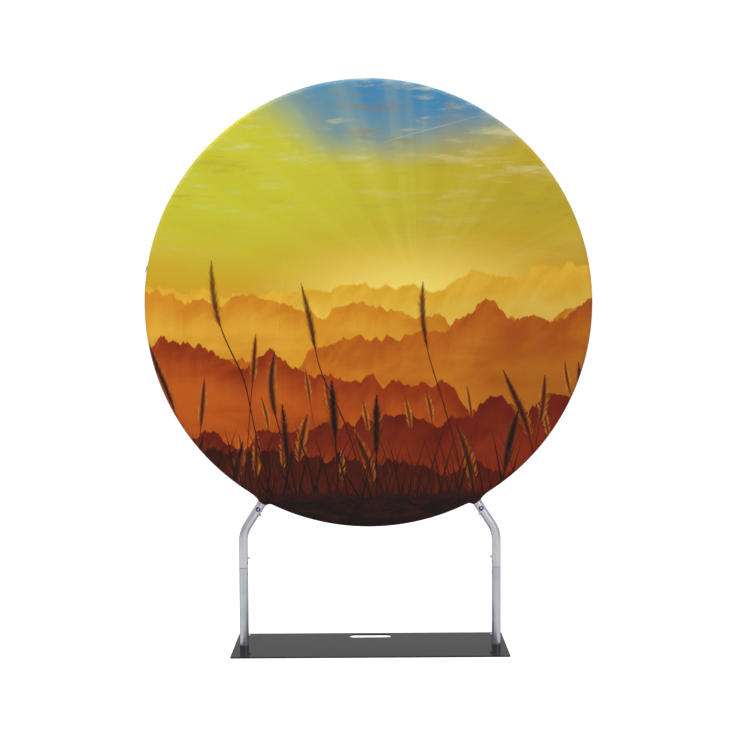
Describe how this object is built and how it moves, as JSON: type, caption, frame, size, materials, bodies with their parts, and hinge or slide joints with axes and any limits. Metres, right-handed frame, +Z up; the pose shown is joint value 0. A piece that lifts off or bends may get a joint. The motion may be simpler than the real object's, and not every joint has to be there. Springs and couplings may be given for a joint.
{
  "type": "round fabric banner display",
  "caption": "Free-standing round banner: printed stretch cover zipped over a jointed tube ring, on two bent snap-button legs and a flat steel base plate with a carrying slot.",
  "frame": {"origin": "centre of the underside of the base plate, on the floor", "axes": "+Z up, +X to the right seen from the printed front, +Y to the back; the front faces -Y"},
  "size_m": [1.4919, 0.305, 1.8952],
  "materials": {
    "black_plate": "satin",
    "zinc_screw": "satin",
    "satin_tube": "satin",
    "turned_aluminium": "satin",
    "button_steel": "satin",
    "spring_steel": "satin",
    "rivet_aluminium": "satin",
    "label_film": "satin",
    "printed_fabric": "matte",
    "zip_coil": "matte",
    "zip_metal": "satin"
  },
  "bodies": {
    "stand": {"base_plate": "black_plate", "base_post_left": "turned_aluminium", "base_post_right": "turned_aluminium", "coupler_rivets": "rivet_aluminium", "cover_back_panel": "printed_fabric", "cover_front_panel": "printed_fabric", "joint_labels": "label_film", "leg_coupler_left": "turned_aluminium", "leg_coupler_right": "turned_aluminium", "lower_leg_left": "satin_tube", "lower_leg_right": "satin_tube", "post_screws": "zinc_screw", "ring_coupler_1": "turned_aluminium", "ring_coupler_2": "turned_aluminium", "ring_coupler_3": "turned_aluminium", "ring_coupler_4": "turned_aluminium", "ring_coupler_5": "turned_aluminium", "ring_coupler_6": "turned_aluminium", "ring_stub_left": "satin_tube", "ring_stub_right": "satin_tube", "ring_tube_1": "satin_tube", "ring_tube_2": "satin_tube", "ring_tube_3": "satin_tube", "ring_tube_4": "satin_tube", "ring_tube_5": "satin_tube", "ring_tube_6": "satin_tube", "snap_spring_base_left": "spring_steel", "snap_spring_base_right": "spring_steel", "snap_spring_middle_left": "spring_steel", "snap_spring_middle_right": "spring_steel", "snap_spring_ring_1": "spring_steel", "snap_spring_ring_2": "spring_steel", "snap_spring_ring_3": "spring_steel", "snap_spring_ring_4": "spring_steel", "snap_spring_ring_5": "spring_steel", "snap_spring_ring_6": "spring_steel", "snap_spring_top_left": "spring_steel", "snap_spring_top_right": "spring_steel", "upper_leg_left": "satin_tube", "upper_leg_right": "satin_tube", "zip_chain": "zip_coil"},
    "button_base_left": {"snap_button_base_left": "button_steel"},
    "button_middle_left": {"snap_button_middle_left": "button_steel"},
    "button_top_left": {"snap_button_top_left": "button_steel"},
    "button_base_right": {"snap_button_base_right": "button_steel"},
    "button_middle_right": {"snap_button_middle_right": "button_steel"},
    "button_top_right": {"snap_button_top_right": "button_steel"},
    "button_ring_1": {"snap_button_ring_1": "button_steel"},
    "button_ring_2": {"snap_button_ring_2": "button_steel"},
    "button_ring_3": {"snap_button_ring_3": "button_steel"},
    "button_ring_4": {"snap_button_ring_4": "button_steel"},
    "button_ring_5": {"snap_button_ring_5": "button_steel"},
    "button_ring_6": {"snap_button_ring_6": "button_steel"},
    "zip_slider": {"zip_slider": "zip_metal"},
    "zip_pull": {"zip_pull": "zip_metal"}
  },
  "joints": [
    {"name": "press_base_left", "type": "slide", "parent": "stand", "child": "button_base_left", "axis": [-1, 0, 0], "range_m": [0, 0.0081], "stiffness_N_per_m": 1500, "springref_m": -0.002, "deforming": ["snap_spring_base_left"]},
    {"name": "press_middle_left", "type": "slide", "parent": "stand", "child": "button_middle_left", "axis": [-1, 0, 0], "range_m": [0, 0.0081], "stiffness_N_per_m": 1500, "springref_m": -0.002, "deforming": ["snap_spring_middle_left"]},
    {"name": "press_top_left", "type": "slide", "parent": "stand", "child": "button_top_left", "axis": [-0.8387, 0, 0.5446], "range_m": [0, 0.0081], "stiffness_N_per_m": 1500, "springref_m": -0.002, "deforming": ["snap_spring_top_left"]},
    {"name": "press_base_right", "type": "slide", "parent": "stand", "child": "button_base_right", "axis": [1, 0, 0], "range_m": [0, 0.0081], "stiffness_N_per_m": 1500, "springref_m": -0.002, "deforming": ["snap_spring_base_right"]},
    {"name": "press_middle_right", "type": "slide", "parent": "stand", "child": "button_middle_right", "axis": [1, 0, 0], "range_m": [0, 0.0081], "stiffness_N_per_m": 1500, "springref_m": -0.002, "deforming": ["snap_spring_middle_right"]},
    {"name": "press_top_right", "type": "slide", "parent": "stand", "child": "button_top_right", "axis": [0.8387, 0, 0.5446], "range_m": [0, 0.0081], "stiffness_N_per_m": 1500, "springref_m": -0.002, "deforming": ["snap_spring_top_right"]},
    {"name": "press_ring_1", "type": "slide", "parent": "stand", "child": "button_ring_1", "axis": [0.8425, 0, 0.5387], "range_m": [0, 0.0081], "stiffness_N_per_m": 1500, "springref_m": -0.002, "deforming": ["snap_spring_ring_1"]},
    {"name": "press_ring_2", "type": "slide", "parent": "stand", "child": "button_ring_2", "axis": [-0.0453, 0, 0.999], "range_m": [0, 0.0081], "stiffness_N_per_m": 1500, "springref_m": -0.002, "deforming": ["snap_spring_ring_2"]},
    {"name": "press_ring_3", "type": "slide", "parent": "stand", "child": "button_ring_3", "axis": [-0.8878, 0, 0.4603], "range_m": [0, 0.0081], "stiffness_N_per_m": 1500, "springref_m": -0.002, "deforming": ["snap_spring_ring_3"]},
    {"name": "press_ring_4", "type": "slide", "parent": "stand", "child": "button_ring_4", "axis": [-0.8425, 0, -0.5387], "range_m": [0, 0.0081], "stiffness_N_per_m": 1500, "springref_m": -0.002, "deforming": ["snap_spring_ring_4"]},
    {"name": "press_ring_5", "type": "slide", "parent": "stand", "child": "button_ring_5", "axis": [0.0453, 0, -0.999], "range_m": [0, 0.0081], "stiffness_N_per_m": 1500, "springref_m": -0.002, "deforming": ["snap_spring_ring_5"]},
    {"name": "press_ring_6", "type": "slide", "parent": "stand", "child": "button_ring_6", "axis": [0.8878, 0, -0.4603], "range_m": [0, 0.0081], "stiffness_N_per_m": 1500, "springref_m": -0.002, "deforming": ["snap_spring_ring_6"]},
    {"name": "zip_run", "type": "hinge", "parent": "stand", "child": "zip_slider", "pos_m": [0, 0, 1.15011], "axis": [0, -1, 0], "range_deg": [0, 66]},
    {"name": "pull_swing", "type": "hinge", "parent": "zip_slider", "child": "zip_pull", "pos_m": [-0.73693, 0.01075, 1.27607], "axis": [0.4929, 0.866, -0.0842], "range_deg": [-12, 155]}
  ]
}
